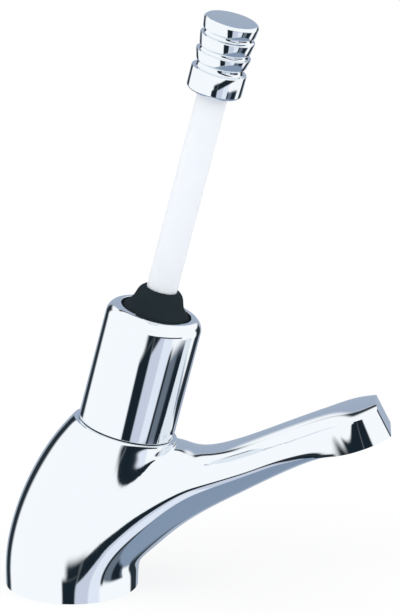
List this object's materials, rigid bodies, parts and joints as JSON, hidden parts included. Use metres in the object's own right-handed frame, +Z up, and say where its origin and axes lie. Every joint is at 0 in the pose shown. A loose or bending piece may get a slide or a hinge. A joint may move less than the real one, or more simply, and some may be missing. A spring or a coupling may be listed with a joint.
{
  "type": "push timed tap",
  "caption": "Self-closing basin tap: chrome body with a leaning head and rising spout, and a joystick lever that presses a timed cartridge.",
  "frame": {"origin": "centre of the base on the deck, which is the centre of the inlet's mouth", "axes": "+Z up out of the deck, +X towards the spout's outlet; the part is symmetric about the XZ plane"},
  "size_m": [0.1514, 0.0526, 0.2318],
  "materials": {
    "body_chrome": "polished chrome plate on cast brass",
    "sleeve_chrome": "polished chrome plate on turned brass",
    "knob_chrome": "polished chrome plate on a turned, ribbed knob",
    "aerator_chrome": "polished chrome plate",
    "ball_chrome": "polished",
    "boot_rubber": "soft satin moulded rubber",
    "rod_plastic": "translucent white, smooth satin",
    "steel": "turned stainless",
    "spring_steel": "drawn stainless wire",
    "turned_brass": "turned",
    "white_acetal": "machined",
    "aerator_plastic": "moulded",
    "seal_rubber": "moulded nitrile",
    "fibre": "pressed fibre"
  },
  "bodies": {
    "housing": {"body_casting": "body_chrome", "collar_sleeve": "sleeve_chrome", "aerator_housing": "aerator_chrome", "boot": "boot_rubber", "return_spring": "spring_steel", "timing_needle": "steel", "cartridge_body": "turned_brass", "chamber_cap": "turned_brass", "lever_housing": "turned_brass", "socket_nut": "turned_brass", "boot_clamp_ring": "turned_brass", "socket_ring": "white_acetal", "aerator_insert": "aerator_plastic", "inlet_filter": "aerator_plastic", "nose_o_ring": "seal_rubber", "collar_o_ring": "seal_rubber", "aerator_washer": "seal_rubber", "base_gasket": "seal_rubber", "cartridge_gasket": "fibre"},
    "plunger": {"plunger_cap": "turned_brass", "valve_stem": "steel", "piston": "white_acetal", "lip_seal": "seal_rubber", "seal_clip": "steel", "valve_washer": "seal_rubber", "washer_cup": "turned_brass", "washer_screw": "steel"},
    "slip": {"slip_washer": "white_acetal"},
    "lever": {"lever_ball": "ball_chrome", "lever_rod": "rod_plastic", "lever_knob": "knob_chrome", "knob_stud": "steel"}
  },
  "joints": [
    {"name": "press", "type": "slide", "parent": "housing", "child": "plunger", "axis": [-0.2419, 0, -0.9703], "range_m": [0, 0.0045], "stiffness_N_per_m": 3000, "springref_m": -0.006, "deforming": ["return_spring", "boot"]},
    {"name": "tilt_fore_aft", "type": "hinge", "parent": "plunger", "child": "slip", "pos_m": [0.0284, 0, 0.09305], "axis": [0, 1, 0], "range_deg": [-10, 10], "stiffness_Nm_per_rad": 3, "springref_deg": -0.48, "deforming": ["boot"]},
    {"name": "tilt_sideways", "type": "hinge", "parent": "slip", "child": "lever", "pos_m": [0.0284, 0, 0.09305], "axis": [0.9703, 0, -0.2419], "range_deg": [-10, 10], "stiffness_Nm_per_rad": 3, "deforming": ["boot"]}
  ]
}
